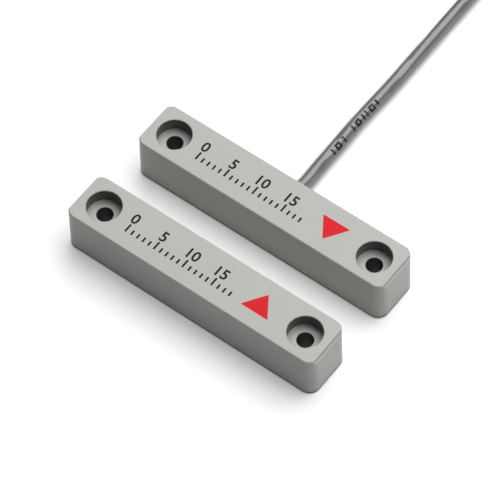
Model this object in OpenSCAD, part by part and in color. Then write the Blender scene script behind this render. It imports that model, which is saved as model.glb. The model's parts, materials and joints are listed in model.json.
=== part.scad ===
// Surface mount magnetic contact: a sealed switch half with its cable, and the magnet half beside it.
// Millimetres. The origin is midway between the switch half's two screw holes, on its underside.
// +X runs along the halves, +Y leaves the cable side and +Z points up.

/* [Housings] */
// Length of each half just below its top edge
body_l = 86; // [83:0.5:100]
// Width of each half just below its top edge
body_w = 15.9; // [15.3:0.1:19]
// Height of each half
body_h = 15.9; // [15.4:0.1:20]
// Draft of the outer walls, in degrees from upright
draft = 1; // [0.5:0.1:2]
// Radius of the upright corners at the top
corner_r = 3.1; // [2:0.1:5]
// Thickness of the side walls and of the roof over the cavity
wall = 2; // [1.6:0.1:2.2]
// Chamfer along the top edges
edge_chamfer = 0.25; // [0.1:0.05:0.4]
// Chamfer along the foot of the outer walls
foot_chamfer = 0.3; // [0.1:0.05:0.5]
// Width of the ledge at each end, where the top stands back from the end wall
ledge_w = 0.55; // [0.2:0.05:0.8]
// How far the ledge at each end lies below the top
ledge_drop = 1.15; // [0.8:0.05:4]
// How far the ledge falls over its width
ledge_fall = 0.25; // [0.1:0.05:0.4]
// Radius of the upright corners inside the cavity
cavity_r = 1; // [0.5:0.1:2]
// How far the potting lies inside the open underside
potting_recess = 0.4; // [0.2:0.1:1]

/* [Screw holes] */
// Distance between the two screw holes of a half
hole_spacing = 69.85; // [66:0.05:72]
// Bore of each screw hole
hole_d = 5; // [4:0.1:6]
// Bore of the counterbore for the screw head
counterbore_d = 10.2; // [9:0.1:11]
// Depth of the counterbore
counterbore_depth = 4.3; // [3:0.1:6]
// Chamfer round the counterbore's mouth
mouth_chamfer = 0.2; // [0.1:0.05:0.4]
// Plastic left between each counterbore and the cavity
boss_wall = 2.1; // [1.2:0.1:3]

/* [Layout of the pair] */
// Distance between the middle lines of the two halves
pair_spacing = 30.9; // [22:0.1:60]
// How far the magnet half stands along X from the switch half
pair_shift = -1; // [-5:0.5:5]

/* [Switch board] */
// Length of the circuit board
board_l = 40; // [32:1:50]
// Thickness of the circuit board
board_t = 1.2; // [0.8:0.1:1.3]
// Gap between the board's long edges and the cavity walls
board_gap = 0.25; // [0.1:0.05:0.5]
// Diameter of the moulded posts that hold the board off the roof
post_d = 2.8; // [2:0.1:3.5]
// Distance from the board's ends to the middles of the posts
post_inset = 2.5; // [2:0.1:4]
// Radius of a solder joint where it meets the board
solder_r = 0.8; // [0.6:0.05:0.9]
// Height of a solder joint
solder_h = 0.7; // [0.4:0.1:0.9]

/* [Ball switch] */
// Thickness of the capsule's drawn shell
shell_t = 0.35; // [0.25:0.05:0.4]
// Diameter of the ball that bridges the contacts
ball_d = 3.2; // [2.6:0.1:3.4]
// Travel of the ball towards the magnet half
ball_travel = 0.8; // [0.4:0.1:1]
// Running gap round the ball
ball_gap = 0.15; // [0.1:0.01:0.2]
// Gap between the capsule's front and the cavity wall
capsule_front_gap = 0.3; // [0.1:0.1:0.5]
// Gap between the capsule and the roof
capsule_roof_gap = 0.45; // [0.2:0.05:0.6]
// Gap between the capsule and the board
capsule_seat = 0.05; // [0.02:0.01:0.1]
// Radius of the contact head on the centre pin
pin_head_r = 1.1; // [1:0.05:1.3]
// Thickness of the contact head on the centre pin
pin_head_t = 0.4; // [0.3:0.05:0.6]
// Radius of the centre pin and of the shell lead
lead_r = 0.3; // [0.2:0.05:0.35]
// Radius of the glass bead round the centre pin
glass_r = 0.95; // [0.7:0.05:1.1]
// Length of the header's spigot inside the shell
spigot_l = 0.8; // [0.5:0.1:1]
// Thickness of the header's flange
flange_t = 0.6; // [0.4:0.1:0.8]
// Thickness of the ring that draws the ball back
bias_t = 0.8; // [0.5:0.1:1]
// Gap between the centre pin's head and the header
head_gap = 0.5; // [0.3:0.1:0.7]
// Length of the centre pin behind the bias ring, up to its bend
pin_reach = 0.9; // [0.8:0.1:1]

/* [Magnet] */
// Length of the bar magnet
magnet_l = 38.1; // [25:0.1:44]
// Width of the bar magnet
magnet_w = 9.5; // [8:0.1:10]
// Height of the bar magnet
magnet_h = 9.5; // [8:0.1:10]
// Chamfer along the magnet's long edges
magnet_chamfer = 0.4; // [0.2:0.1:0.8]
// Gap between the magnet and the ribs that locate it
magnet_gap = 0.15; // [0.05:0.05:0.3]
// Thickness of the moulded ribs round the magnet
rib_t = 1.5; // [1:0.1:2]

/* [Cable] */
// Outer diameter of the cable jacket
cable_d = 4; // [3.6:0.1:4.2]
// Gap between the jacket and its hole in the back wall
cable_gap = 0.15; // [0.1:0.05:0.3]
// Height of the cable's middle where it leaves the back wall
cable_exit_z = 3.4; // [3:0.1:3.6]
// Where the cable leaves the back wall along X
cable_exit_x = -1; // [-4:0.5:4]
// Wall of the crimped collar that keeps the cable from being pulled out
collar_t = 0.6; // [0.4:0.1:0.8]
// Length of the crimped collar
collar_l = 1.4; // [1:0.1:2]
// Gap between the collar and the underside of the board
collar_gap = 0.2; // [0.1:0.1:0.4]
// Diameter of each insulated conductor
wire_d = 1.1; // [0.9:0.05:1.2]
// Pitch of the conductors where they leave the jacket
wire_pitch = 1.5; // [1.3:0.05:1.6]
// Distance from the middle of the cable to the two inner board joints
wire_reach = 8; // [6:0.5:9]
// Further distance to the two outer board joints
wire_step = 2.5; // [2:0.1:4]

/* [Hidden] */
$fn = 48;
over = 1;

shell_grey = [0.74, 0.745, 0.72];
potting_grey = [0.28, 0.28, 0.28];
jacket_grey = [0.58, 0.58, 0.57];

// Heights and spans that follow from the housings
draft_run = (body_h - edge_chamfer - foot_chamfer) * tan(draft);
roof_z = body_h - wall;
cavity_w = body_w - 2 * wall;
cavity_l = hole_spacing - counterbore_d - 2 * boss_wall;
counterbore_z = body_h - counterbore_depth;

// The board lies just above the cable's collar, and the capsule fills the height between it and the roof
board_z = cable_exit_z + cable_d / 2 + collar_t + collar_gap;
board_top = board_z + board_t;
board_w = cavity_w - 2 * board_gap;
capsule_r = (roof_z - capsule_roof_gap - board_top - capsule_seat) / 2;
bore_r = capsule_r - shell_t;
capsule_z = board_top + capsule_seat + capsule_r;
post_clear = 0.3;
post_y = board_w / 2 - post_d / 2 - post_clear;
post_x = board_l / 2 - post_inset;

// Stations along the capsule's axis, from its closed front to the pin's bend
front_y = -cavity_w / 2 + capsule_front_gap;
chamber_y = front_y + shell_t;
head_y = chamber_y + ball_d + ball_travel + 2 * ball_gap;
spigot_y = head_y + pin_head_t + head_gap;
flange_y = spigot_y + spigot_l;
bias_y = flange_y + flange_t;
pin_bend_y = bias_y + bias_t + pin_reach;
ball_y = head_y - ball_gap - ball_d / 2;
ball_z = capsule_z - (bore_r - ball_d / 2 - ball_gap);
shell_lead_y = (front_y + flange_y) / 2;
shell_lead_x = capsule_r + lead_r;
glass_clear = 0.25;

// Cable: a straight run that drops to the ground, a round coil of two layers, a short tail.
// Each station is a distance along Y and the share of the drop that is still to come.
cable_r = cable_d / 2;
cable_sides = 10;
run_stations = [[2, 1], [6, 1], [10, 1], [13, 0.72], [16, 0.3], [19.5, 0.06], [23, 0], [31, 0], [39, 0],
    [48, 0], [58, 0], [68, 0], [78, 0], [88, 0], [98, 0], [107, 0], [115, 0], [123, 0]];
tail_stations = [[123, 1], [118, 0.95], [113, 0.65], [108, 0.23], [103, 0], [99, 0]];
run_drop = cable_exit_z - cable_r;
tail_drop = cable_d;
coil_turn_r = 27;
coil_x = cable_exit_x - coil_turn_r;
coil_y = 123;
coil_out_r = coil_turn_r + cable_r;
coil_in_r = coil_out_r - 3.65 * cable_d;
coil_h = 2 * cable_d;
coil_sides = 96;
cable_route = [for (p = run_stations) [cable_exit_x, p[0], cable_r + p[1] * run_drop]];
tail_route = [for (p = tail_stations) [coil_x - coil_turn_r, p[0], cable_r + p[1] * tail_drop]];

// The strap round the coil presses a little into its inner side, its outer side and its underside
tie_w = 5;
tie_t = 0.6;
tie_in_r = coil_in_r + 1.4;
tie_out_r = coil_out_r - 0.8;
tie_lift = 0.6;
tie_top = coil_h + tie_lift + tie_t;
tie_mid_r = (tie_in_r + tie_out_r) / 2;
tie_head_w = 5.4;
tie_head_l = 4.2;
tie_head_h = 1.9;
tie_head_wall = 0.7;
tie_head_depth = 1.1;

// Conductors: two above two, the upper pair turning first
jacket_end = cable_route[0];
wire_r = wire_d / 2;
wire_offset = wire_pitch / 2;
upper_turn = 1.4;
lower_turn = 3;
upper_y = jacket_end[1] - upper_turn;
lower_y = jacket_end[1] - lower_turn;
wire_slack = 0.05;
wire_sides = 8;
tip_r = 0.3;
tip_l = 5;
tip_stub = 0.2;
tail_end = tail_route[len(tail_route) - 1];
tail_start = 0.8;
tail_knee = 6;
tail_reach = 14;
tail_knee_y = tail_end[1] - tail_knee;
tail_tip_y = tail_end[1] - tail_reach;
tail_fan = 2.2;

// A block whose walls lean in by lean on every side over its height, with round upright corners
module drafted_block(l, w, h, r, lean) {
    rotate([90, 0, 90]) linear_extrude(l - 2 * r, center = true)
        polygon([[-w / 2 - lean, 0], [w / 2 + lean, 0], [w / 2, h], [-w / 2, h]]);
    rotate([90, 0, 0]) linear_extrude(w - 2 * r, center = true)
        polygon([[-l / 2 - lean, 0], [l / 2 + lean, 0], [l / 2, h], [-l / 2, h]]);
    for (sx = [-1, 1], sy = [-1, 1])
        translate([sx * (l / 2 - r), sy * (w / 2 - r), 0]) cylinder(h = h, r1 = r + lean, r2 = r);
}

// A block with upright walls and round upright corners, from height z0 to z1
module round_block(l, w, r, z0, z1) {
    for (size = [[l - 2 * r, w], [l, w - 2 * r]])
        translate([-size[0] / 2, -size[1] / 2, z0]) cube([size[0], size[1], z1 - z0]);
    for (sx = [-1, 1], sy = [-1, 1])
        translate([sx * (l / 2 - r), sy * (w / 2 - r), z0]) cylinder(h = z1 - z0, r = r);
}

// What is cut away over the ledge at the +X end
module end_rebate() {
    riser_x = body_l / 2 - ledge_w;
    outer_x = body_l / 2 + draft_run + over;
    ledge_z = body_h - ledge_drop;
    outer_z = ledge_z - ledge_fall * (outer_x - riser_x) / ledge_w;
    rotate([90, 0, 0]) linear_extrude(body_w + 2 * draft_run + 2 * over, center = true)
        polygon([[riser_x, ledge_z], [outer_x, outer_z], [outer_x, body_h + over], [riser_x, body_h + over]]);
}

// The outside of a half: drafted walls, chamfered top and foot, a narrow ledge at each end
module body_block() {
    difference() {
        union() {
            drafted_block(body_l + 2 * draft_run, body_w + 2 * draft_run, foot_chamfer,
                corner_r + draft_run, -foot_chamfer);
            translate([0, 0, foot_chamfer])
                drafted_block(body_l, body_w, body_h - edge_chamfer - foot_chamfer, corner_r, draft_run);
            translate([0, 0, body_h - edge_chamfer])
                drafted_block(body_l - 2 * edge_chamfer, body_w - 2 * edge_chamfer, edge_chamfer,
                    corner_r - edge_chamfer, edge_chamfer);
        }
        end_rebate();
        mirror([1, 0, 0]) end_rebate();
    }
}

// A screw hole with its counterbore and the counterbore's chamfered mouth
module screw_hole() {
    translate([0, 0, -over]) cylinder(h = body_h + 2 * over, d = hole_d);
    translate([0, 0, counterbore_z]) cylinder(h = counterbore_depth + over, d = counterbore_d);
    translate([0, 0, body_h - mouth_chamfer])
        cylinder(h = mouth_chamfer + over, d1 = counterbore_d,
            d2 = counterbore_d + 2 * (mouth_chamfer + over));
}

// The moulded shell that both halves share: solid ends with screw holes, open cavity between
module moulded_shell() {
    difference() {
        body_block();
        round_block(cavity_l, cavity_w, cavity_r, -over, roof_z);
        for (sx = [-1, 1]) translate([sx * hole_spacing / 2, 0, 0]) screw_hole();
    }
}

// Poured compound that fills the cavity from its recess up to height top
module poured_block(top) {
    round_block(cavity_l, cavity_w, cavity_r, potting_recess, top);
}

// Everything of the magnet half stands here
module magnet_place() {
    translate([pair_shift, -pair_spacing, 0]) children();
}

// A cylinder from point a to point b
module rod(a, b, r) {
    v = b - a;
    translate(a) rotate([0, acos(v[2] / norm(v)), atan2(v[1], v[0])]) cylinder(h = norm(v), r = r);
}

// A wire along straight stretches with ball corners
module bent_wire(points, r) {
    for (i = [0 : len(points) - 2]) rod(points[i], points[i + 1], r);
    for (i = [1 : len(points) - 2]) translate(points[i]) sphere(r = r);
}

// A cylinder along +Y, from y0 to y1 on the capsule's axis
module on_axis(y0, y1, r) {
    translate([0, y0, capsule_z]) rotate([-90, 0, 0]) cylinder(h = y1 - y0, r = r);
}

// A straight stretch along the cable's own axis inside the housing
module on_cable(y0, y1, r) {
    translate([cable_exit_x, y0, cable_exit_z]) rotate([-90, 0, 0]) cylinder(h = y1 - y0, r = r);
}

// Where a conductor's joint stands on the board; side is -1 or 1, upper is 1 or 0
function joint_x(side, upper) = cable_exit_x + side * (wire_reach + (1 - upper) * wire_step);
function joint_y(upper) = upper == 1 ? upper_y : lower_y;

// A conductor's path from the jacket's end to the underside of the board
function wire_path(side, upper) =
    let (x0 = cable_exit_x + side * wire_offset, z0 = cable_exit_z + (2 * upper - 1) * wire_offset)
    [[x0, jacket_end[1], z0], [x0, joint_y(upper), z0],
        [joint_x(side, upper), joint_y(upper), z0], [joint_x(side, upper), joint_y(upper), board_z]];

// A conductor's path from the jacket's far end to its stripped tip
function tail_path(side, upper) =
    let (x0 = tail_end[0] + side * wire_offset, z0 = tail_end[2] + (2 * upper - 1) * wire_offset,
        x1 = tail_end[0] + side * tail_fan * (0.5 + upper))
    [[x0, tail_end[1], z0], [x0, tail_end[1] - tail_start, z0],
        [(x0 + x1) / 2, (tail_end[1] + tail_knee_y) / 2, (z0 + wire_r) / 2],
        [x1, tail_knee_y, wire_r], [x1, tail_tip_y, wire_r]];

// Sweep of a regular polygon along a list of points, as one closed polyhedron
function unit(v) = v / norm(v);
function heading(p, i) = unit(p[min(i + 1, len(p) - 1)] - p[max(i - 1, 0)]);
function ring(p, i, r, n) =
    let (t = heading(p, i), s = unit(cross(t, [0, 0, 1])), u = cross(s, t))
    [for (k = [0 : n - 1]) p[i] + r * (sin(360 * k / n) * s - cos(360 * k / n) * u)];
module swept_tube(p, r, n) {
    count = len(p);
    corners = [for (i = [0 : count - 1]) each ring(p, i, r, n)];
    sides = [for (i = [0 : count - 2], k = [0 : n - 1])
        [i * n + k, i * n + (k + 1) % n, (i + 1) * n + (k + 1) % n, (i + 1) * n + k]];
    start_cap = [[for (k = [0 : n - 1]) n - 1 - k]];
    end_cap = [[for (k = [0 : n - 1]) (count - 1) * n + k]];
    polyhedron(points = corners, faces = concat(sides, start_cap, end_cap), convexity = 6);
}

module switch_housing() {
    color(shell_grey) {
        difference() {
            moulded_shell();
            on_cable(0, body_w, cable_r + cable_gap);
        }
        for (sx = [-1, 1], sy = [-1, 1])
            translate([sx * post_x, sy * post_y, board_top])
                cylinder(h = roof_z - board_top + wall / 2, d = post_d);
    }
}

module switch_potting() {
    color(potting_grey) difference() {
        poured_block(board_z);
        on_cable(jacket_end[1], body_w, cable_r + wire_slack);
        on_cable(cavity_w / 2 - collar_l, body_w, cable_r + collar_t + wire_slack);
        for (side = [-1, 1], upper = [0, 1]) {
            path = wire_path(side, upper);
            bent_wire([path[0] + [0, over, 0], path[1], path[2], path[3] + [0, 0, over]],
                wire_r + wire_slack);
        }
    }
}

module circuit_board() {
    color([0.1, 0.35, 0.2]) difference() {
        translate([-board_l / 2, -board_w / 2, board_z]) cube([board_l, board_w, board_t]);
        for (side = [-1, 1], upper = [0, 1])
            translate([joint_x(side, upper), joint_y(upper), board_z - over])
                cylinder(h = board_t + 2 * over, r = tip_r);
        for (p = [[0, pin_bend_y], [shell_lead_x, shell_lead_y]])
            translate([p[0], p[1], board_z - over]) cylinder(h = board_t + 2 * over, r = lead_r);
    }
}

module capsule_shell() {
    color([0.78, 0.76, 0.7]) difference() {
        on_axis(front_y, flange_y, capsule_r);
        on_axis(chamber_y, flange_y + over, bore_r);
    }
}

module capsule_header() {
    color([0.72, 0.71, 0.68]) difference() {
        union() {
            on_axis(spigot_y, flange_y, bore_r);
            on_axis(flange_y, bias_y, capsule_r);
        }
        on_axis(spigot_y - over, bias_y + over, glass_r);
    }
}

module glass_seal() {
    color([0.35, 0.5, 0.45]) difference() {
        on_axis(spigot_y, bias_y, glass_r);
        on_axis(spigot_y - over, bias_y + over, lead_r);
    }
}

module centre_pin() {
    color([0.85, 0.75, 0.45]) {
        on_axis(head_y, head_y + pin_head_t, pin_head_r);
        bent_wire([[0, head_y, capsule_z], [0, pin_bend_y, capsule_z], [0, pin_bend_y, board_z]], lead_r);
    }
}

module bias_ring() {
    color([0.45, 0.45, 0.47]) difference() {
        on_axis(bias_y, bias_y + bias_t, capsule_r);
        on_axis(bias_y - over, bias_y + bias_t + over, glass_r + glass_clear);
    }
}

module shell_lead() {
    color([0.85, 0.75, 0.45])
        translate([shell_lead_x, shell_lead_y, board_z]) cylinder(h = capsule_z - board_z, r = lead_r);
}

module switch_ball() {
    color([0.8, 0.7, 0.4]) translate([0, ball_y, ball_z]) sphere(d = ball_d);
}

// One cone of solder round a lead of radius r
module solder_cone(x, y, r) {
    translate([x, y, board_top]) difference() {
        cylinder(h = solder_h, r1 = solder_r, r2 = (solder_r + r) / 2);
        translate([0, 0, -over]) cylinder(h = solder_h + 2 * over, r = r);
    }
}

module solder_joints() {
    color([0.75, 0.75, 0.77]) {
        for (side = [-1, 1], upper = [0, 1]) solder_cone(joint_x(side, upper), joint_y(upper), tip_r);
        solder_cone(0, pin_bend_y, lead_r);
    }
}

module conductor_ends() {
    color([0.85, 0.6, 0.4])
        for (side = [-1, 1], upper = [0, 1])
            translate([joint_x(side, upper), joint_y(upper), board_z])
                cylinder(h = board_t + solder_h + tip_stub, r = tip_r);
}

module strain_collar() {
    color([0.65, 0.66, 0.68]) difference() {
        on_cable(cavity_w / 2 - collar_l, cavity_w / 2, cable_r + collar_t);
        on_cable(cavity_w / 2 - collar_l - over, cavity_w / 2 + over, cable_r);
    }
}

module wire_red() { color([0.75, 0.1, 0.1]) bent_wire(wire_path(-1, 1), wire_r); }
module wire_black() { color([0.08, 0.08, 0.08]) bent_wire(wire_path(-1, 0), wire_r); }
module wire_green() { color([0.1, 0.45, 0.2]) bent_wire(wire_path(1, 1), wire_r); }
module wire_white() { color([0.9, 0.9, 0.88]) bent_wire(wire_path(1, 0), wire_r); }

module magnet_housing() {
    rib_z = roof_z - magnet_h;
    rib_h = magnet_h + wall / 2;
    back_gap = cavity_w - magnet_w - magnet_gap;
    color(shell_grey) magnet_place() {
        moulded_shell();
        for (x = [-magnet_l / 2 - magnet_gap - rib_t, magnet_l / 2 + magnet_gap])
            translate([x, -cavity_w / 2 - wall / 2, rib_z]) cube([rib_t, cavity_w + wall, rib_h]);
        for (sx = [-1, 1])
            translate([sx * magnet_l / 4 - rib_t / 2, -cavity_w / 2 - wall / 2, rib_z])
                cube([rib_t, back_gap + wall / 2, rib_h]);
    }
}

module bar_magnet() {
    c = magnet_chamfer;
    color([0.3, 0.3, 0.32]) magnet_place()
        translate([0, cavity_w / 2 - magnet_w / 2, roof_z - magnet_h / 2])
            rotate([90, 0, 90]) linear_extrude(magnet_l, center = true)
                polygon([for (s = [[1, -1], [1, 1], [-1, 1], [-1, -1]], e = [0, 1])
                    let (late = s[0] * s[1] > 0 ? e : 1 - e)
                    [s[0] * (magnet_w / 2 - c * late), s[1] * (magnet_h / 2 - c * (1 - late))]]);
}

module magnet_potting() {
    color(potting_grey) magnet_place() poured_block(roof_z - magnet_h);
}

module cable_run() {
    color(jacket_grey) swept_tube(cable_route, cable_r, cable_sides);
}

module cable_tail() {
    color(jacket_grey) swept_tube(tail_route, cable_r, cable_sides);
}

// Outline of the wound turns in section, with round corners of the cable's own radius
module coil_section() {
    translate([coil_in_r, cable_r]) square([coil_out_r - coil_in_r, coil_h - cable_d]);
    translate([coil_in_r + cable_r, 0]) square([coil_out_r - coil_in_r - cable_d, coil_h]);
    for (x = [coil_in_r + cable_r, coil_out_r - cable_r], y = [cable_r, coil_h - cable_r])
        translate([x, y]) circle(r = cable_r);
}

// A slab across the coil where the tie sits, between two radii and two heights
module tie_slab(r0, r1, z0, z1, w) {
    translate([coil_x - w / 2, coil_y + r0, z0]) cube([w, r1 - r0, z1 - z0]);
}

module cable_coil() {
    color(jacket_grey) difference() {
        translate([coil_x, coil_y, 0]) rotate_extrude($fn = coil_sides) coil_section();
        difference() {
            tie_slab(coil_in_r - over, coil_out_r + over, -over, coil_h + over, tie_w);
            tie_slab(tie_in_r, tie_out_r, tie_lift, coil_h, tie_w + over);
        }
    }
}

// The tie's squared head, open above, sunk into the middle of the strap on top of the coil
module tie_head() {
    r0 = tie_mid_r - tie_head_l / 2;
    r1 = tie_mid_r + tie_head_l / 2;
    z1 = tie_top + tie_head_h;
    difference() {
        tie_slab(r0, r1, tie_top - tie_t / 2, z1, tie_head_w);
        tie_slab(r0 + tie_head_wall, r1 - tie_head_wall, z1 - tie_head_depth, z1 + over,
            tie_head_w - 2 * tie_head_wall);
    }
}

module coil_tie() {
    color([0.1, 0.1, 0.1]) {
        difference() {
            tie_slab(tie_in_r - tie_t, tie_out_r + tie_t, 0, tie_top, tie_w);
            tie_slab(tie_in_r, tie_out_r, tie_lift, tie_top - tie_t, tie_w + over);
        }
        tie_head();
    }
}

module tail_red() { color([0.75, 0.1, 0.1]) swept_tube(tail_path(-1, 1), wire_r, wire_sides); }
module tail_black() { color([0.08, 0.08, 0.08]) swept_tube(tail_path(-1, 0), wire_r, wire_sides); }
module tail_green() { color([0.1, 0.45, 0.2]) swept_tube(tail_path(1, 1), wire_r, wire_sides); }
module tail_white() { color([0.9, 0.9, 0.88]) swept_tube(tail_path(1, 0), wire_r, wire_sides); }

module tail_tips() {
    color([0.8, 0.8, 0.82])
        for (side = [-1, 1], upper = [0, 1]) {
            path = tail_path(side, upper);
            last = path[len(path) - 1];
            rod(last, last - [0, tip_l, 0], tip_r);
        }
}

switch_housing();
switch_potting();
circuit_board();
capsule_shell();
capsule_header();
glass_seal();
centre_pin();
bias_ring();
shell_lead();
switch_ball();
solder_joints();
conductor_ends();
strain_collar();
wire_red();
wire_black();
wire_green();
wire_white();
magnet_housing();
bar_magnet();
magnet_potting();
cable_run();
cable_coil();
coil_tie();
cable_tail();
tail_red();
tail_black();
tail_green();
tail_white();
tail_tips();
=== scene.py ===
import json
import math

import bmesh
import bpy
from mathutils import Matrix, Vector


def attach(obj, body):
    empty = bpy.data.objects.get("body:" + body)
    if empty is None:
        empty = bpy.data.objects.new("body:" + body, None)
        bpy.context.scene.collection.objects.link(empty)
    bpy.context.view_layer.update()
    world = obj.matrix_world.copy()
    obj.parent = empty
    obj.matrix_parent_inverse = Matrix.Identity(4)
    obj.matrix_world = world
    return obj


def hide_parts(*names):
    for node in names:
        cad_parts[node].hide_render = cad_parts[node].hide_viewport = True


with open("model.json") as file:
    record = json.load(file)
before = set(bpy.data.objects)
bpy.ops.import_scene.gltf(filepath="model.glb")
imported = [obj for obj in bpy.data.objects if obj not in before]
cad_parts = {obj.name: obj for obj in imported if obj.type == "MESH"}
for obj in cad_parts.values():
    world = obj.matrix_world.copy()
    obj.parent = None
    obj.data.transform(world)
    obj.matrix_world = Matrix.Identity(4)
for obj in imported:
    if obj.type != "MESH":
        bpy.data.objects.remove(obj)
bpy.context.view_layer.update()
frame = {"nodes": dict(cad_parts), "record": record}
mm = 0.001
worldUp = Vector((0, 0, 1))

# Camera, at the angle of the photograph
viewpoint = {
    "azimuth": 38.699,
    "elevation": 57.05,
    "roll": -2.123,
    "lens": 243.9,
    "clip": (0.05, 50),
    "distance": 949.165,
    "target": (2.106, -13.888, 6.740),
}


def aimCamera(view):
    turn, rise, roll = (math.radians(view[key]) for key in ("azimuth", "elevation", "roll"))
    back = Vector((math.sin(turn) * math.cos(rise), -math.cos(turn) * math.cos(rise), math.sin(rise)))
    side = Vector((math.cos(turn), math.sin(turn), 0))
    top = back.cross(side)
    right = side * math.cos(roll) + top * math.sin(roll)
    up = top * math.cos(roll) - side * math.sin(roll)
    data = bpy.data.cameras.new("pairCamera")
    data.lens = view["lens"]
    data.clip_start, data.clip_end = view["clip"]
    camera = bpy.data.objects.new("pairCamera", data)
    turned = Matrix((right, up, back)).transposed().to_4x4()
    place = (Vector(view["target"]) + back * view["distance"]) * mm
    camera.matrix_world = Matrix.Translation(place) @ turned
    bpy.context.scene.collection.objects.link(camera)
    bpy.context.scene.camera = camera


aimCamera(viewpoint)
print("camera placed")


# Small helpers for node trees and meshes
def addNode(tree, kind, inputs=None, **settings):
    made = tree.nodes.new(kind)
    for key, value in settings.items():
        setattr(made, key, value)
    for key, value in (inputs or {}).items():
        if isinstance(value, bpy.types.NodeSocket):
            tree.links.new(value, made.inputs[key])
        else:
            made.inputs[key].default_value = value
    return made


def calc(tree, operation, first, second=0.0):
    return addNode(tree, "ShaderNodeMath", {0: first, 1: second}, operation=operation).outputs[0]


def between(tree, value, low, high):
    above = calc(tree, "GREATER_THAN", value, low)
    return calc(tree, "MULTIPLY", above, calc(tree, "LESS_THAN", value, high))


def mapRange(tree, value, given, wanted):
    ends = {"From Min": given[0], "From Max": given[1], "To Min": wanted[0], "To Max": wanted[1]}
    return addNode(tree, "ShaderNodeMapRange", {"Value": value, **ends}).outputs[0]


def mixColours(tree, factor, first, second):
    # sockets 6 and 7 are the colours A and B, output 2 the mixed colour
    colours = {0: factor, 6: first, 7: second}
    return addNode(tree, "ShaderNodeMix", colours, data_type="RGBA").outputs[2]


def noiseIn(tree, place, scale, detail=2.0):
    values = {"Vector": place, "Scale": scale, "Detail": detail}
    return addNode(tree, "ShaderNodeTexNoise", values).outputs[0]


def bumpFrom(tree, height, depth, strength=1.0):
    return addNode(tree, "ShaderNodeBump", {"Height": height, "Distance": depth * mm, "Strength": strength})


def startMaterial(name):
    material = bpy.data.materials.new(name)
    material.use_nodes = True
    tree = material.node_tree
    tree.nodes.clear()
    return material, tree, addNode(tree, "ShaderNodeTexCoord").outputs["Object"]


def finishMaterial(tree, shader):
    addNode(tree, "ShaderNodeOutputMaterial", {"Surface": shader})


def finishPrincipled(tree, values):
    finishMaterial(tree, addNode(tree, "ShaderNodeBsdfPrincipled", values).outputs[0])


def addPiece(name, data):
    piece = bpy.data.objects.new(name, data)
    bpy.context.scene.collection.objects.link(piece)
    return piece


def meshPiece(name, material, build):
    shape = bmesh.new()
    build(shape)
    data = bpy.data.meshes.new(name)
    shape.to_mesh(data)
    shape.free()
    data.materials.append(material)
    return addPiece(name, data)


def plainMesh(piece):
    # what the piece's modifiers or its text make, as a mesh of its own
    bpy.context.view_layer.update()
    return bpy.data.meshes.new_from_object(piece.evaluated_get(bpy.context.evaluated_depsgraph_get()))


def smoothFaces(piece):
    piece.data.polygons.foreach_set("use_smooth", [True] * len(piece.data.polygons))


# Where the screw holes are: the switch half's middle is the origin, the magnet half's is beside it
screwHoles = {
    "spacing": 69.85,
    "outerRadius": 5.15,
    "seatZ": 11.6,
    "seatBand": 0.05,
    "magnetMiddle": (-1.0, -30.9),
}


def boreMask(tree, place, holes):
    # 1 on the walls of the holes and counterbores, which get painted shade, 0 on the screw heads' seats and
    # elsewhere
    parts = addNode(tree, "ShaderNodeSeparateXYZ", {0: place}).outputs
    middleX, middleY = holes["magnetMiddle"]
    onMagnet = calc(tree, "LESS_THAN", parts["Y"], middleY / 2 * mm)
    acrossX = calc(tree, "SUBTRACT", parts["X"], calc(tree, "MULTIPLY", onMagnet, middleX * mm))
    acrossY = calc(tree, "SUBTRACT", parts["Y"], calc(tree, "MULTIPLY", onMagnet, middleY * mm))
    fromAxis = calc(tree, "SUBTRACT", calc(tree, "ABSOLUTE", acrossX), holes["spacing"] / 2 * mm)
    arm = addNode(tree, "ShaderNodeCombineXYZ", {"X": fromAxis, "Y": acrossY})
    radius = addNode(tree, "ShaderNodeVectorMath", {0: arm.outputs[0]}, operation="LENGTH").outputs["Value"]
    inside = calc(tree, "LESS_THAN", radius, holes["outerRadius"] * mm)
    offSeat = calc(tree, "ABSOLUTE", calc(tree, "SUBTRACT", parts["Z"], holes["seatZ"] * mm))
    return calc(tree, "MULTIPLY", inside, calc(tree, "GREATER_THAN", offSeat, holes["seatBand"] * mm))


def housingShades(tree, place, tint, look):
    # painted shade: the walls of the screw holes and a line along the foot are painted darker, the underside
    # isn't
    height = addNode(tree, "ShaderNodeSeparateXYZ", {0: place}).outputs["Z"]
    aboveRim = calc(tree, "GREATER_THAN", height, look["rimHeight"] * mm)
    foot = mapRange(tree, height, [z * mm for z in look["footShadeFade"]], (1.0, 0.0))
    bores = boreMask(tree, place, screwHoles)
    for mask, shade in ((bores, look["boreShadePaint"]), (foot, look["footShadePaint"])):
        tint = mixColours(tree, calc(tree, "MULTIPLY", mask, aboveRim), tint, shade)
    return tint


# Moulded, poured and insulated plastics: clouded colour, uneven gloss, fine skin
plasticSkin = {"cloudDetail": 3.0, "skinDetail": 4.0, "glossSpread": 0.05, "bevelSamples": 4}


def plasticFinish(name, look):
    material, tree, place = startMaterial(name)
    cloud = noiseIn(tree, place, look["cloudScale"], plasticSkin["cloudDetail"])
    tint = mixColours(tree, cloud, look["dark"], look["light"])
    # the housing gets painted shade in its screw holes and along its foot
    if "boreShadePaint" in look:
        tint = housingShades(tree, place, tint, look)
    skin = noiseIn(tree, place, look["skinScale"], plasticSkin["skinDetail"])
    spread = plasticSkin["glossSpread"]
    gloss = mapRange(tree, skin, (0.0, 1.0), (look["roughness"] - spread, look["roughness"] + spread))
    bump = bumpFrom(tree, skin, look["skinDepth"])
    if "roundEdges" in look:
        edges = {"Radius": look["roundEdges"] * mm}
        rounded = addNode(tree, "ShaderNodeBevel", edges, samples=plasticSkin["bevelSamples"])
        tree.links.new(rounded.outputs[0], bump.inputs["Normal"])
    extra = look.get("extra", {})
    finishPrincipled(tree, {"Base Color": tint, "Roughness": gloss, "Normal": bump.outputs[0], **extra})
    return material


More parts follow.
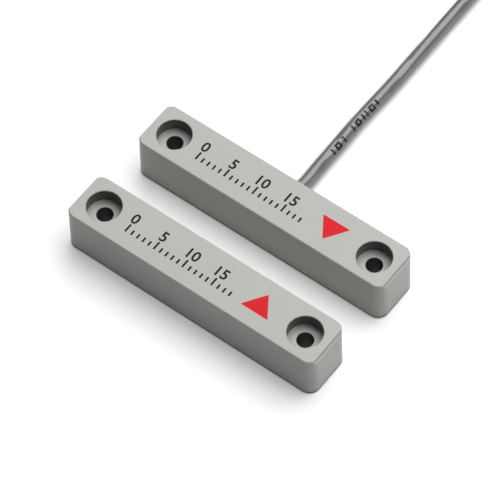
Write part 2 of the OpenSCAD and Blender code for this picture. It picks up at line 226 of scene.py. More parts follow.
plasticLooks = {
    "housing_plastic": {
        "name": "housingPlastic",
        "dark": (0.41, 0.415, 0.39, 1),
        "light": (0.44, 0.445, 0.42, 1),
        "cloudScale": 60.0,
        "skinScale": 2600.0,
        "skinDepth": 0.012,
        "roughness": 0.42,
        "roundEdges": 0.06,
        # painted shade on the walls of the screw holes
        "boreShadePaint": (0.09, 0.09, 0.085, 1),
        # painted contact shadow: a dark line along the foot, fading out upwards
        "footShadePaint": (0.045, 0.045, 0.043, 1),
        "footShadeFade": (0.6, 1.1),
        "rimHeight": 0.01,
    },
    "potting": {
        "name": "pouredCompound",
        "dark": (0.018, 0.018, 0.019, 1),
        "light": (0.03, 0.03, 0.032, 1),
        "cloudScale": 120.0,
        "skinScale": 500.0,
        "skinDepth": 0.05,
        "roughness": 0.22,
    },
    "board": {
        "name": "boardResist",
        "dark": (0.012, 0.085, 0.03, 1),
        "light": (0.02, 0.12, 0.045, 1),
        "cloudScale": 300.0,
        "skinScale": 2200.0,
        "skinDepth": 0.01,
        "roughness": 0.3,
    },
    "magnet_ferrite": {
        "name": "sinteredMagnet",
        "dark": (0.035, 0.035, 0.037, 1),
        "light": (0.06, 0.06, 0.062, 1),
        "cloudScale": 400.0,
        "skinScale": 1800.0,
        "skinDepth": 0.03,
        "roughness": 0.55,
    },
    "tie_plastic": {
        "name": "strapPlastic",
        "dark": (0.012, 0.012, 0.012, 1),
        "light": (0.02, 0.02, 0.02, 1),
        "cloudScale": 200.0,
        "skinScale": 2400.0,
        "skinDepth": 0.012,
        "roughness": 0.4,
    },
}
wireColours = {
    "red": ((0.33, 0.012, 0.012, 1), (0.4, 0.02, 0.018, 1)),
    "black": ((0.008, 0.008, 0.008, 1), (0.014, 0.014, 0.014, 1)),
    "green": ((0.008, 0.13, 0.035, 1), (0.012, 0.17, 0.05, 1)),
    "white": ((0.6, 0.6, 0.57, 1), (0.66, 0.66, 0.63, 1)),
}
wireLook = {"cloudScale": 250.0, "skinScale": 1500.0, "skinDepth": 0.008, "roughness": 0.32}

# Metals: drawn or rolled, with fine lengthwise grain
metalGrain = {"scale": 1000.0, "detail": 3.0, "glossSpread": 0.08, "depth": 0.004, "strength": 0.6}
metalLooks = {
    "can_metal": {
        "name": "canMetal",
        "dark": (0.5, 0.49, 0.46, 1),
        "light": (0.62, 0.61, 0.57, 1),
        "roughness": 0.28,
        "grain": (2, 0.1, 2),
    },
    "contact_metal": {
        "name": "contactMetal",
        "dark": (0.7, 0.48, 0.2, 1),
        "light": (0.83, 0.6, 0.28, 1),
        "roughness": 0.22,
        "grain": (1, 0.3, 1),
    },
    "ring_steel": {
        "name": "ringSteel",
        "dark": (0.28, 0.28, 0.29, 1),
        "light": (0.38, 0.38, 0.39, 1),
        "roughness": 0.38,
        "grain": (1, 1, 1),
    },
    "tinned_metal": {
        "name": "tinnedMetal",
        "dark": (0.5, 0.5, 0.51, 1),
        "light": (0.66, 0.66, 0.67, 1),
        "roughness": 0.3,
        "grain": (1, 0.2, 1),
    },
    "collar_metal": {
        "name": "collarMetal",
        "dark": (0.52, 0.53, 0.55, 1),
        "light": (0.65, 0.66, 0.68, 1),
        "roughness": 0.3,
        "grain": (1, 0.1, 1),
    },
}


def metalFinish(name, look):
    material, tree, place = startMaterial(name)
    stretched = addNode(tree, "ShaderNodeMapping", {"Vector": place, "Scale": look["grain"]}).outputs[0]
    grain = noiseIn(tree, stretched, metalGrain["scale"], metalGrain["detail"])
    tint = mixColours(tree, grain, look["dark"], look["light"])
    spread = metalGrain["glossSpread"]
    gloss = mapRange(tree, grain, (0.0, 1.0), (look["roughness"] - spread, look["roughness"] + spread))
    bump = bumpFrom(tree, grain, metalGrain["depth"], metalGrain["strength"]).outputs[0]
    finishPrincipled(tree, {"Base Color": tint, "Metallic": 1.0, "Roughness": gloss, "Normal": bump})
    return material


sealLook = {
    "tint": (0.5, 0.72, 0.6, 1),
    "roughness": 0.08,
    "ior": 1.5,
    "clearness": 0.8,
    "bubbleScale": 1400.0,
    "bubbleDepth": 0.01,
    "bubbleStrength": 0.4,
}


def sealFinish(look):
    material, tree, place = startMaterial("fusedSealGlass")
    bubbles = addNode(tree, "ShaderNodeTexVoronoi", {"Vector": place, "Scale": look["bubbleScale"]})
    bump = bumpFrom(tree, bubbles.outputs["Distance"], look["bubbleDepth"], look["bubbleStrength"])
    glass = {
        "Base Color": look["tint"],
        "Roughness": look["roughness"],
        "IOR": look["ior"],
        "Transmission Weight": look["clearness"],
        "Normal": bump.outputs[0],
    }
    finishPrincipled(tree, glass)
    return material


finishes = {}
for slotName, look in plasticLooks.items():
    finishes[slotName] = plasticFinish(look["name"], look)
finishes["seal_glass"] = sealFinish(sealLook)
for slotName, look in metalLooks.items():
    finishes[slotName] = metalFinish(look["name"], look)
for colour, (dark, light) in wireColours.items():
    look = {**wireLook, "dark": dark, "light": light}
    finishes["insulation_" + colour] = plasticFinish(colour + "Insulation", look)
print("finishes made:", len(finishes))


# Cable: its route, then the coil's two layers and the short tail that comes off its top
cable = {
    "diameter": 4.0,
    "sides": 40,
    "exitY": 8.22,
    "step": 1.2,  # between rings
    "run": [(-1, 2, 3.4), (-1, 6, 3.4), (-1, 10, 3.4), (-0.85, 13, 3.008), (-0.7, 16, 2.42), (-0.88, 19.5, 2.084),
            (-1.02, 23, 2), (-1.08, 28, 2), (-1.14, 33, 2), (-1.24, 38, 2), (-1.34, 42, 2), (-1.25, 45.5, 2),
            (-1.1, 50, 2), (-0.92, 56, 2), (-0.88, 62, 2), (-0.95, 70, 2), (-1, 78, 2), (-1, 88, 2),
            (-1, 98, 2), (-1, 107, 2), (-1, 115, 2), (-1, 123, 2)],
    "tail": [(-55, 123, 6), (-55, 118, 5.8), (-55, 113, 4.6), (-55, 108, 2.92), (-55, 103, 2), (-55, 99, 2)],
    "coilCentre": (-28, 123),
    "coilStep": 15,  # in degrees, as the four angles below are
    "layerEnd": 960,
    "climbEnd": 1020,
    "coilEnd": 1980,
    "tieAngle": 90,
    "outerTurn": 27.0,
    "innerTurn": 16.33,
    "tieLift": 0.6,  # the strap lifts the turns a little
    "tieReach": 0.25,  # in radians, either way
    "lay": 70.0,  # of the twisted cores under the jacket, which leave two shallow furrows in it
    "furrowStart": 0.08,
    "furrowDepth": 0.06,
    "furrowWidth": 0.055,
}


def easeStep(t):
    return t * t * (3 - 2 * t)


def coilPoint(cord, degrees):
    # inwards on the floor, up at the inside, then outwards on top of the first layer
    pitch = cord["diameter"] / 360
    if degrees < cord["layerEnd"]:
        radius, z = cord["outerTurn"] - pitch * degrees, cord["diameter"] / 2
    elif degrees < cord["climbEnd"]:
        t = (degrees - cord["layerEnd"]) / (cord["climbEnd"] - cord["layerEnd"])
        radius, z = cord["innerTurn"], cord["diameter"] * (0.5 + easeStep(t))
    else:
        radius, z = cord["innerTurn"] + pitch * (degrees - cord["climbEnd"]), cord["diameter"] * 1.5
    away = math.radians((degrees - cord["tieAngle"] + 180) % 360 - 180)
    z += cord["tieLift"] * math.exp(-((away / cord["tieReach"]) ** 2))
    angle = math.radians(degrees)
    x, y = cord["coilCentre"]
    return Vector((x + radius * math.cos(angle), y + radius * math.sin(angle), z))


def curveThrough(points, step):
    # a smooth line through the points (Catmull-Rom), with a point about every step
    ends = [points[0] * 2 - points[1]] + points + [points[-1] * 2 - points[-2]]
    line = []
    for a, b, c, d in zip(ends, ends[1:], ends[2:], ends[3:]):
        parts = max(1, round((c - b).length / step))
        for i in range(parts):
            t = i / parts
            bend, twist = 2 * a - 5 * b + 4 * c - d, 3 * b - a - 3 * c + d
            line.append(0.5 * (2 * b + (c - a) * t + bend * t**2 + twist * t**3))
    return line + [points[-1]]


def cableLine(cord):
    run = [Vector(p) for p in cord["run"]]
    coil = [coilPoint(cord, degrees) for degrees in range(cord["coilStep"], cord["coilEnd"], cord["coilStep"])]
    tail = [Vector(p) for p in cord["tail"]]
    return curveThrough(run + coil + tail, cord["step"])


def tubeRings(shape, line, sides, radiusAt):
    # rings round a line in millimetres; u is the share of the way round, v the metres along
    along, rings = 0.0, []
    for i, point in enumerate(line):
        heading = (line[min(i + 1, len(line) - 1)] - line[max(i - 1, 0)]).normalized()
        side = heading.cross(worldUp).normalized()
        up = side.cross(heading)
        if i:
            along += (point - line[i - 1]).length
        ring = []
        for k in range(sides):
            angle = 2 * math.pi * k / sides
            out = up * -math.cos(angle) + side * math.sin(angle)
            ring.append(shape.verts.new((point + out * radiusAt(angle, along)) * mm))
        rings.append((ring, along))
    uv = shape.loops.layers.uv.new("jacketMap")
    for (ring, v0), (later, v1) in zip(rings, rings[1:]):
        for k in range(sides):
            n = (k + 1) % sides
            face = shape.faces.new((ring[k], ring[n], later[n], later[k]))
            spots = ((k, v0), (k + 1, v0), (k + 1, v1), (k, v1))
            for loop, (u, v) in zip(face.loops, spots):
                loop[uv].uv = (u / sides, v * mm)
    shape.faces.new(list(reversed(rings[0][0])))
    shape.faces.new(rings[-1][0])
    bmesh.ops.recalc_face_normals(shape, faces=shape.faces)


def jacketRadius(angle, along):
    # away is the distance to the nearer of the two furrows, in turns
    turn = angle / (2 * math.pi) - cable["furrowStart"] - along / cable["lay"]
    away = (turn + 0.25) % 0.5 - 0.25
    dent = math.exp(-((away / cable["furrowWidth"]) ** 2))
    return cable["diameter"] / 2 * (1 - cable["furrowDepth"] * dent)


jacketLook = {
    "dark": (0.12, 0.12, 0.116, 1),
    "light": (0.145, 0.145, 0.14, 1),
    "cloudScale": 90.0,
    "cloudDetail": 3.0,
    "skinScale": 1500.0,
    "skinDetail": 3.0,
    "skinDepth": 0.01,
    "roughness": (0.12, 0.23),
    "ior": 1.7,
    "ink": (0.012, 0.012, 0.012, 1),
    "inkPeriod": 260.0,
    "shine": 0.5,
    "inkShine": 0.05,
    "speckleScale": 2600.0,
    "speckleDetail": 1.0,
    "speckleLevel": 0.36,
    # printed marks, each with its place along the cable: bars across it and open boxes
    "bars": [26.4, 31.8, 36.4, 41.4, 43.0, 47.9],
    "boxes": [28.2, 38.2, 44.7],
    "boxLength": 2.2,
    "lineWidth": 0.7,
    "lineShare": 0.056,  # the same width as a share of the way round
    "printLow": 0.31,
    "printHigh": 0.49,
}


def printStrokes(look):
    low, high, width, share = (look[key] for key in ("printLow", "printHigh", "lineWidth", "lineShare"))
    strokes = [(place, place + width, low, high) for place in look["bars"]]
    for place in look["boxes"]:
        end = place + look["boxLength"]
        strokes += [(place, place + width, low, high), (end - width, end, low, high)]
        strokes += [(place, end, low, low + share), (place, end, high - share, high)]
    return strokes


def jacketFinish(look):
    material, tree, place = startMaterial("softJacket")
    cloud = noiseIn(tree, place, look["cloudScale"], look["cloudDetail"])
    base = mixColours(tree, cloud, look["dark"], look["light"])
    spot = addNode(tree, "ShaderNodeUVMap", uv_map="jacketMap").outputs[0]
    lines = addNode(tree, "ShaderNodeSeparateXYZ", {0: spot}).outputs
    along = calc(tree, "FLOORED_MODULO", lines["Y"], look["inkPeriod"] * mm)
    printed = 0.0
    for start, end, low, high in printStrokes(look):
        lengthwise = between(tree, along, start * mm, end * mm)
        stroke = calc(tree, "MULTIPLY", lengthwise, between(tree, lines["X"], low, high))
        printed = calc(tree, "MAXIMUM", printed, stroke)
    speckle = noiseIn(tree, place, look["speckleScale"], look["speckleDetail"])
    printed = calc(tree, "MULTIPLY", printed, calc(tree, "GREATER_THAN", speckle, look["speckleLevel"]))
    skin = noiseIn(tree, place, look["skinScale"], look["skinDetail"])
    jacket = {
        "Base Color": mixColours(tree, printed, base, look["ink"]),
        "Roughness": mapRange(tree, skin, (0.0, 1.0), look["roughness"]),
        "Normal": bumpFrom(tree, skin, look["skinDepth"]).outputs[0],
        "IOR": look["ior"],
        "Specular IOR Level": mapRange(tree, printed, (0.0, 1.0), (look["shine"], look["inkShine"])),
    }
    finishPrincipled(tree, jacket)
    return material


finishes["cable_jacket"] = jacketFinish(jacketLook)
line = cableLine(cable)
cableJacket = meshPiece(
    "cableJacket", finishes["cable_jacket"], lambda shape: tubeRings(shape, line, cable["sides"], jacketRadius)
)
smoothFaces(cableJacket)
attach(cableJacket, "contact")
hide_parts("cable_run", "cable_coil", "cable_tail")


# Geometry Nodes: a tree with named inputs, and a piece that is grown from it and made a plain mesh
def startShapeTree(name, sockets):
    tree = bpy.data.node_groups.new(name, "GeometryNodeTree")
    tree.is_modifier = True
    for label, kind in {"Geometry": "Geometry", **sockets, "Finish": "Material"}.items():
        tree.interface.new_socket(name=label, in_out="INPUT", socket_type="NodeSocket" + kind)
    tree.interface.new_socket(name="Geometry", in_out="OUTPUT", socket_type="NodeSocketGeometry")
    return tree, tree.nodes.new("NodeGroupInput").outputs


def finishShapeTree(tree, geometry, finish):
    real = addNode(tree, "GeometryNodeRealizeInstances", {"Geometry": geometry})
    painted = addNode(tree, "GeometryNodeSetMaterial", {"Geometry": real.outputs[0], "Material": finish})
    addNode(tree, "NodeGroupOutput", {"Geometry": painted.outputs[0]})


def growPiece(name, tree, values, source=None):
    seed = addPiece(name, source or bpy.data.meshes.new(name))
    modifier = seed.modifiers.new(name, "NODES")
    modifier.node_group = tree
    for item in tree.interface.items_tree:
        if item.in_out == "INPUT" and item.name in values:
            modifier[item.identifier] = values[item.name]
    grown = plainMesh(seed)
    grown.name = name
    bpy.data.objects.remove(seed)
    return addPiece(name, grown)


def roundTube(tree, curve, sides, radius):
    ring = addNode(tree, "GeometryNodeCurvePrimitiveCircle", {"Resolution": sides, "Radius": radius})
    ends = {"Curve": curve, "Profile Curve": ring.outputs[0], "Fill Caps": True}
    return addNode(tree, "GeometryNodeCurveToMesh", ends).outputs[0]


def rowOfPoints(tree, given, axis):
    # Count points, Pitch apart along the axis, from Start
    step = addNode(tree, "ShaderNodeCombineXYZ", {axis: given["Pitch"]}).outputs[0]
    values = {"Count": given["Count"], "Start Location": given["Start"], "Offset": step}
    return addNode(tree, "GeometryNodeMeshLine", values).outputs[0]


# Conductors that stick out of the jacket's far end, each with a stripped and tinned tip of twisted strands
conductors = {
    "end": (-55, 99, 2),
    "places": {"red": (-1, 1), "black": (-1, 0), "green": (1, 1), "white": (1, 0)},  # side, and 1 for upper
    "offset": 0.75,
    "radius": 0.55,
    "sides": 16,
    "step": 0.35,
    "start": 0.8,
    "knee": 6.0,
    "reach": 14.0,
    "fan": 2.2,
    "tipStart": 0.6,  # inside the insulation
    "tipLength": 5.0,
    "strands": 7,
    "strandTurns": 1.6,
    "strandRadius": 0.104,
    "strandLay": 0.196,
    "strandSides": 8,
    "strandPoints": 28,
}


def conductorLine(wires, side, upper):
    x, y, z = wires["end"]
    radius, knee, reach = wires["radius"], wires["knee"], wires["reach"]
    z0 = z + (2 * upper - 1) * wires["offset"]
    x0, x1 = x + side * wires["offset"], x + side * wires["fan"] * (0.5 + upper)
    points = [
        (x0, y, z0),
        (x0, y - wires["start"], z0),
        ((x0 + x1) / 2, y - knee / 2, (z0 + radius) / 2),
        (x1, y - knee, radius),
        (x1, y - (knee + reach) / 2, radius),
        (x1, y - reach, radius),
    ]
    return curveThrough([Vector(p) for p in points], wires["step"])


def pointLine(name, points):
    data = bpy.data.meshes.new(name)
    data.from_pydata([p * mm for p in points], [(i, i + 1) for i in range(len(points) - 1)], [])
    return data


def conductorTree(wires):
    tree, given = startShapeTree("conductorShape", {"Radius": "Float"})
    path = addNode(tree, "GeometryNodeMeshToCurve", {"Mesh": given["Geometry"]}).outputs[0]
    finishShapeTree(tree, roundTube(tree, path, wires["sides"], given["Radius"]), given["Finish"])
    return tree


def strandTree(wires):
    # strands wound round each straight line; the first is the middle one, the others turn round it
    sizes = {"Strands": "Int", "Strand Radius": "Float", "Lay Radius": "Float", "Turns": "Float"}
    tree, given = startShapeTree("strandShape", sizes)
    path = addNode(tree, "GeometryNodeMeshToCurve", {"Mesh": given["Geometry"]}).outputs[0]
    fine = addNode(tree, "GeometryNodeResampleCurve", {"Curve": path, "Count": wires["strandPoints"]}).outputs[0]
    amount = {"Geometry": fine, "Amount": given["Strands"]}
    copies = addNode(tree, "GeometryNodeDuplicateElements", amount, domain="SPLINE").outputs
    mark = {"Geometry": copies[0], "Name": "strand", "Value": copies["Duplicate Index"]}
    kept = addNode(tree, "GeometryNodeStoreNamedAttribute", mark, data_type="INT", domain="CURVE").outputs[0]
    strand = addNode(tree, "GeometryNodeInputNamedAttribute", {"Name": "strand"}, data_type="INT").outputs[0]
    share = addNode(tree, "GeometryNodeSplineParameter").outputs["Factor"]
    wound = calc(tree, "MULTIPLY", share, given["Turns"])
    turn = calc(tree, "ADD", calc(tree, "DIVIDE", strand, float(wires["strands"] - 1)), wound)
    around = calc(tree, "MULTIPLY", turn, 2 * math.pi)
    outer = calc(tree, "MULTIPLY", calc(tree, "GREATER_THAN", strand, 0.5), given["Lay Radius"])
    across = calc(tree, "MULTIPLY", calc(tree, "COSINE", around), outer)
    above = calc(tree, "MULTIPLY", calc(tree, "SINE", around), outer)
    offset = addNode(tree, "ShaderNodeCombineXYZ", {"X": across, "Z": above}).outputs[0]
    laid = addNode(tree, "GeometryNodeSetPosition", {"Geometry": kept, "Offset": offset}).outputs[0]
    finishShapeTree(tree, roundTube(tree, laid, wires["strandSides"], given["Strand Radius"]), given["Finish"])
    return tree


insulated, stranded = conductorTree(conductors), strandTree(conductors)
cableExtras, tipLines = [], []
for colour, (side, upper) in conductors["places"].items():
    name = colour + "Conductor"
    wireLine = conductorLine(conductors, side, upper)
    values = {"Radius": conductors["radius"] * mm, "Finish": finishes["insulation_" + colour]}
    wire = growPiece(name, insulated, values, pointLine(name, wireLine))
    smoothFaces(wire)
    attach(wire, "contact")
    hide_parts("tail_" + colour)
    cableExtras.append(wire)
    for y in (conductors["tipStart"], -conductors["tipLength"]):
        tipLines.append((wireLine[-1] + Vector((0, y, 0))) * mm)

tipData = bpy.data.meshes.new("tinnedTips")
tipData.from_pydata(tipLines, [(i, i + 1) for i in range(0, len(tipLines), 2)], [])
values = {
    "Strands": conductors["strands"],
    "Strand Radius": conductors["strandRadius"] * mm,
    "Lay Radius": conductors["strandLay"] * mm,
    "Turns": conductors["strandTurns"],
    "Finish": finishes["tinned_metal"],
}
tinnedTips = growPiece("tinnedTips", stranded, values, tipData)
smoothFaces(tinnedTips)
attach(tinnedTips, "contact")
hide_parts("tail_tips")
cableExtras.append(tinnedTips)
print("conductors drawn")


# Strap round the coil, with ridges for its catch and a squared head
strap = {
    "x": -28.0,
    "width": 4.6,
    "thickness": 0.5,
    "corners": [(149.0, 2.6), (149.0, 6.6), (141.0, 6.6), (141.0, 2.6)],  # Y and Z of their centres
    "cornerRadius": 2.06,
    "cornerParts": 8,
    "edgeDrop": 0.12,
    "edgeInset": 0.2,
    "ridgePitch": 0.7,
    "ridgeCount": 5,
    "ridgeSize": (3.2, 0.28, 0.14),
    "ridgeStarts": {"Near": 139.6, "Far": 147.9},
    "headSize": (5.4, 4.2, 2.3),
    "headPlace": (-28.0, 145.0, 9.95),
    "headBevel": 0.35,
    "headSteps": 3,
    "slotRim": 0.7,
    "slotDepth": 1.1,
}


def strapBand(shape, band):
    half, inner, outer = band["width"] / 2, band["cornerRadius"], band["cornerRadius"] + band["thickness"]
    soft, inset = outer - band["edgeDrop"], half - band["edgeInset"]
    section = [(-half, inner), (half, inner), (half, soft), (inset, outer), (-inset, outer), (-half, soft)]
    rings = []
    for k, (y, z) in enumerate(band["corners"]):
        for i in range(band["cornerParts"] + 1):
            angle = math.radians(-90 + 90 * (k + i / band["cornerParts"]))
            spots = [(band["x"] + x, y + math.cos(angle) * r, z + math.sin(angle) * r) for x, r in section]
            rings.append([shape.verts.new(Vector(spot) * mm) for spot in spots])
    for ring, later in zip(rings, rings[1:] + rings[:1]):
        for k in range(len(section)):
            n = (k + 1) % len(section)
            shape.faces.new((ring[k], ring[n], later[n], later[k]))
    bmesh.ops.recalc_face_normals(shape, faces=shape.faces)


def strapHead(shape, head):
    made = bmesh.ops.create_cube(shape, size=1.0)["verts"]
    bmesh.ops.scale(shape, vec=Vector(head["headSize"]) * mm, verts=made)
    rounding = {"offset": head["headBevel"] * mm, "segments": head["headSteps"], "profile": 0.5}
    bmesh.ops.bevel(shape, geom=list(shape.edges), affect="EDGES", **rounding)
    lid = max(shape.faces, key=lambda face: face.normal.z * face.calc_area())
    bmesh.ops.inset_region(shape, faces=[lid], thickness=head["slotRim"] * mm)
    bmesh.ops.translate(shape, vec=(0, 0, -head["slotDepth"] * mm), verts=lid.verts)
    bmesh.ops.translate(shape, vec=Vector(head["headPlace"]) * mm, verts=shape.verts)


def ridgeTree():
    sizes = {"Count": "Int", "Pitch": "Float", "Start": "Vector", "Size": "Vector"}
    tree, given = startShapeTree("ridgeRow", sizes)
    ridge = addNode(tree, "GeometryNodeMeshCube", {"Size": given["Size"]}).outputs[0]
    row = {"Points": rowOfPoints(tree, given, "Y"), "Instance": ridge}
    placed = addNode(tree, "GeometryNodeInstanceOnPoints", row).outputs[0]
    finishShapeTree(tree, placed, given["Finish"])
    return tree


coilStrap = meshPiece("coilStrap", finishes["tie_plastic"], lambda shape: strapBand(shape, strap))
strapCatch = meshPiece("strapHead", finishes["tie_plastic"], lambda shape: strapHead(shape, strap))
strapTop = strap["corners"][1][1] + strap["cornerRadius"] + strap["thickness"]
strapPieces = [coilStrap, strapCatch]
ridgeRows = ridgeTree()
for sideName, startY in strap["ridgeStarts"].items():
    values = {
        "Count": strap["ridgeCount"],
        "Pitch": strap["ridgePitch"] * mm,
        "Start": Vector((strap["x"], startY, strapTop)) * mm,
        "Size": Vector(strap["ridgeSize"]) * mm,
        "Finish": finishes["tie_plastic"],
    }
    strapPieces.append(growPiece("strapRidges" + sideName, ridgeRows, values))
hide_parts("coil_tie")
for piece in strapPieces:
    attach(piece, "contact")
    cableExtras.append(piece)
print("coil strapped")

# Finishes on the CAD nodes
for subpart in frame["record"]["subparts"]:
    node = frame["nodes"][subpart["node"]]
    finish = finishes[subpart["material_slot"]]
    if node.data.materials:
        node.data.materials[0] = finish
    else:
        node.data.materials.append(finish)
print("CAD nodes dressed")

# Ink on the tops: a plain graduated scale with its numbers, and a pointer towards the other half
ink = {
    "top": 15.9,
    "film": 0.03,
    "scaleStart": (-25.0, -3.2),
    "pitch": 2.0,
    "ticks": 19,
    "longEvery": 5,
    "tickWidth": 0.6,
    "shortTick": 1.7,
    "longTick": 2.8,
    "textSize": 4.692,  # gives digits 3.4 mm high
    "numberWeight": 0.1,
    "numberGap": 0.6,
    "numberSteps": 4,
    "pointer": [(15.2, 3.1), (24.4, 3.1), (19.8, -3.7)],
    "pointerRound": 0.35,
    "pointerSteps": 4,
    "halves": {"switch": (0, 0, 1), "magnet": (-1, -30.9, -1)},  # middle of each half and where its pointer looks
}
inkColours = {
    "blackInk": ((0.008, 0.008, 0.008, 1), (0.014, 0.014, 0.014, 1)),
    "redInk": ((0.68, 0.012, 0.016, 1), (0.74, 0.018, 0.022, 1)),
}
inkLook = {
    "cloudScale": 500.0,
    "skinScale": 3000.0,
    "skinDepth": 0.004,
    "roughness": 0.55,
    "extra": {"Specular IOR Level": 0.12},
}
for name, (dark, light) in inkColours.items():
    finishes[name] = plasticFinish(name, {**inkLook, "dark": dark, "light": light})


def tickTree():
    # strokes that stand on a line, a long one every few
    row = {"Count": "Int", "Pitch": "Float", "Start": "Vector"}
    sizes = {"Short": "Float", "Long": "Float", "Long Every": "Float", "Size": "Vector"}
    tree, given = startShapeTree("scaleTicks", {**row, **sizes})
    index = addNode(tree, "GeometryNodeInputIndex").outputs[0]
    isLong = calc(tree, "LESS_THAN", calc(tree, "FLOORED_MODULO", index, given["Long Every"]), 0.5)
    longer = calc(tree, "MULTIPLY", isLong, calc(tree, "SUBTRACT", given["Long"], given["Short"]))
    length = calc(tree, "ADD", given["Short"], longer)
    rise = addNode(tree, "ShaderNodeCombineXYZ", {"Y": calc(tree, "MULTIPLY", length, 0.5)}).outputs[0]
    lift = {"Geometry": rowOfPoints(tree, given, "X"), "Offset": rise}
    raised = addNode(tree, "GeometryNodeSetPosition", lift).outputs[0]
    stroke = addNode(tree, "GeometryNodeMeshCube", {"Size": given["Size"]}).outputs[0]
    stretch = addNode(tree, "ShaderNodeCombineXYZ", {"X": 1.0, "Y": length, "Z": 1.0}).outputs[0]
    strokes = {"Points": raised, "Instance": stroke, "Scale": stretch}
    finishShapeTree(tree, addNode(tree, "GeometryNodeInstanceOnPoints", strokes).outputs[0], given["Finish"])
    return tree


def scaleNumbers(shape, marks, middle):
    x, y = (m + start for m, start in zip(middle, marks["scaleStart"]))
    for k in range(0, marks["ticks"], marks["longEvery"]):
        text = bpy.data.curves.new("number", "FONT")
        text.body = str(k)
        text.size = marks["textSize"] * mm
        text.align_x = "CENTER"
        text.resolution_u = marks["numberSteps"]
        text.extrude = marks["film"] / 2 * mm
        text.offset = marks["numberWeight"] * mm
        holder = addPiece("number", text)
        flat = plainMesh(holder)
        spot = Vector((x + marks["pitch"] * k, y + marks["longTick"] + marks["numberGap"], marks["top"]))
        flat.transform(Matrix.Translation(spot * mm))
        shape.from_mesh(flat)
        bpy.data.objects.remove(holder)


def pointerMark(shape, marks, middle, facing):
    low = marks["top"] - marks["film"] / 2
    corners = [Vector((middle[0] + x, middle[1] + facing * y, low)) for x, y in marks["pointer"]]
    shape.faces.new([shape.verts.new(p * mm) for p in corners])
    rounding = {"offset": marks["pointerRound"] * mm, "segments": marks["pointerSteps"], "profile": 0.5}
    bmesh.ops.bevel(shape, geom=list(shape.verts), affect="VERTICES", **rounding)
    lifted = bmesh.ops.extrude_face_region(shape, geom=list(shape.faces))["geom"]
    raised = [part for part in lifted if isinstance(part, bmesh.types.BMVert)]
    bmesh.ops.translate(shape, vec=(0, 0, marks["film"] * mm), verts=raised)
    bmesh.ops.recalc_face_normals(shape, faces=shape.faces)


tickRows = tickTree()
for half, (x, y, facing) in ink["halves"].items():
    values = {
        "Count": ink["ticks"],
        "Pitch": ink["pitch"] * mm,
        "Start": Vector((x + ink["scaleStart"][0], y + ink["scaleStart"][1], ink["top"])) * mm,
        "Short": ink["shortTick"] * mm,
        "Long": ink["longTick"] * mm,
        "Long Every": float(ink["longEvery"]),
        "Size": (ink["tickWidth"] * mm, 1.0, ink["film"] * mm),
        "Finish": finishes["blackInk"],
    }
    black, red = finishes["blackInk"], finishes["redInk"]
    for mark in (
        growPiece(half + "ScaleTicks", tickRows, values),
        meshPiece(half + "ScaleNumbers", black, lambda shape: scaleNumbers(shape, ink, (x, y))),
        meshPiece(half + "Pointer", red, lambda shape: pointerMark(shape, ink, (x, y), facing)),
    ):
        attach(mark, "contact")
print("tops printed")

# Floor, light and background
studio = {
    "floorSize": 8.0,
    "floorColour": (0.93, 0.93, 0.93, 1),
    "floorBounce": (0.5, 0.5, 0.5, 1),
    "floorLift": 0.285,
    "paperScale": 400.0,
    "paperDepth": 0.002,
    # the next three shape the painted contact shadow on the floor, with a value for the housings and one for the
    # cable, whose zone starts behind them
    "contactReach": (1.2, 4.0),
    "contactLow": (0.25, 0.55),
    "contactHigh": (0.6, 0.85),
    "contactSamples": 8,
    "cableZone": (12.0, 15.0),
    "cableShadowPaint": 0.2,  # painted shadow: how much darker the floor is painted where the cable touches it
    "ambient": 0.147,
    "mirroredRoom": 0.5,
    "softboxPlace": (0.0, 0.46, 0.89),
    "softboxSize": (1.2, 0.9),
    "softboxPower": 11.8,
    "kickerPlace": (0.85, 0.1, 0.5),
    "kickerSize": (0.6, 0.6),
    "kickerPower": 1.7,
}


def seenBy(tree, *kinds):
    # 1 for a ray of one of these kinds
    rays = addNode(tree, "ShaderNodeLightPath").outputs
    seen = rays[kinds[0]]
    for kind in kinds[1:]:
        seen = calc(tree, "MAXIMUM", seen, rays[kind])
    return seen


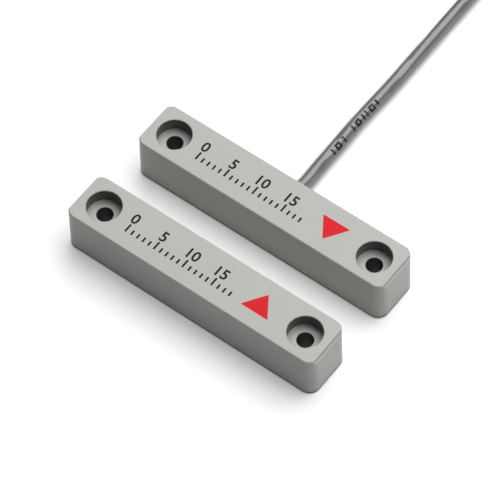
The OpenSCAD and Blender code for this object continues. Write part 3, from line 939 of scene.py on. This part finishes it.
def floorFinish(room):
    material, tree, place = startMaterial("paleFloor")
    paper = bumpFrom(tree, noiseIn(tree, place, room["paperScale"]), room["paperDepth"]).outputs[0]
    # painted contact shadow: the lift fades out in the narrow gap where something touches the floor, and in a
    # wider one along the cable, where the floor is painted darker too
    depth = addNode(tree, "ShaderNodeSeparateXYZ", {0: place}).outputs["Y"]
    zone = mapRange(tree, depth, [y * mm for y in room["cableZone"]], (0.0, 1.0))
    reach = mapRange(tree, zone, (0.0, 1.0), [distance * mm for distance in room["contactReach"]])
    low, high = (mapRange(tree, zone, (0.0, 1.0), room[key]) for key in ("contactLow", "contactHigh"))
    gap = addNode(tree, "ShaderNodeAmbientOcclusion", {"Distance": reach}, samples=room["contactSamples"])
    openShare = mapRange(tree, gap.outputs["AO"], (low, high), (0.0, 1.0))
    closed = calc(tree, "MULTIPLY", zone, calc(tree, "SUBTRACT", 1.0, openShare))
    # painted shadow: the floor's colour darkened along the cable
    dim = calc(tree, "MULTIPLY", closed, room["cableShadowPaint"])
    dimmed = mixColours(tree, dim, room["floorColour"], (0, 0, 0, 1))
    shown = addNode(tree, "ShaderNodeBsdfDiffuse", {"Color": dimmed, "Normal": paper}).outputs[0]
    strength = calc(tree, "MULTIPLY", openShare, room["floorLift"])
    lift = addNode(tree, "ShaderNodeEmission", {"Strength": strength}).outputs[0]
    lifted = addNode(tree, "ShaderNodeAddShader", {0: shown, 1: lift}).outputs[0]
    bounced = addNode(tree, "ShaderNodeBsdfDiffuse", {"Color": room["floorBounce"]}).outputs[0]
    seen = seenBy(tree, "Is Camera Ray", "Is Glossy Ray", "Is Transmission Ray")
    finishMaterial(tree, addNode(tree, "ShaderNodeMixShader", {"Fac": seen, 1: bounced, 2: lifted}).outputs[0])
    return material


def floorSquare(shape, size):
    corners = ((-1, -1), (1, -1), (1, 1), (-1, 1))
    shape.faces.new([shape.verts.new((x * size / 2, y * size / 2, 0)) for x, y in corners])


def lightStudio(room):
    world = bpy.data.worlds.new("studioWorld")
    bpy.context.scene.world = world
    world.use_nodes = True
    tree = world.node_tree
    tree.nodes.clear()
    # the background is white, glossy surfaces mirror a dimmer room, and the light that it gives is fainter still
    seen = seenBy(tree, "Is Camera Ray", "Is Transmission Ray")
    mirrored = calc(tree, "MULTIPLY", seenBy(tree, "Is Glossy Ray"), room["mirroredRoom"])
    strength = calc(tree, "MAXIMUM", calc(tree, "MAXIMUM", seen, mirrored), room["ambient"])
    glow = addNode(tree, "ShaderNodeBackground", {"Color": (1, 1, 1, 1), "Strength": strength})
    addNode(tree, "ShaderNodeOutputWorld", {"Surface": glow.outputs[0]})
    for name in ("softbox", "kicker"):
        lamp = bpy.data.lights.new(name, "AREA")
        lamp.shape = "RECTANGLE"
        lamp.size, lamp.size_y = room[name + "Size"]
        lamp.energy = room[name + "Power"]
        holder = addPiece(name, lamp)
        holder.location = room[name + "Place"]
        holder.rotation_euler = Vector(room[name + "Place"]).to_track_quat("Z", "Y").to_euler()


meshPiece("floor", floorFinish(studio), lambda shape: floorSquare(shape, studio["floorSize"]))
lightStudio(studio)
bpy.context.scene.view_settings.view_transform = "Standard"
print("floor and light set")
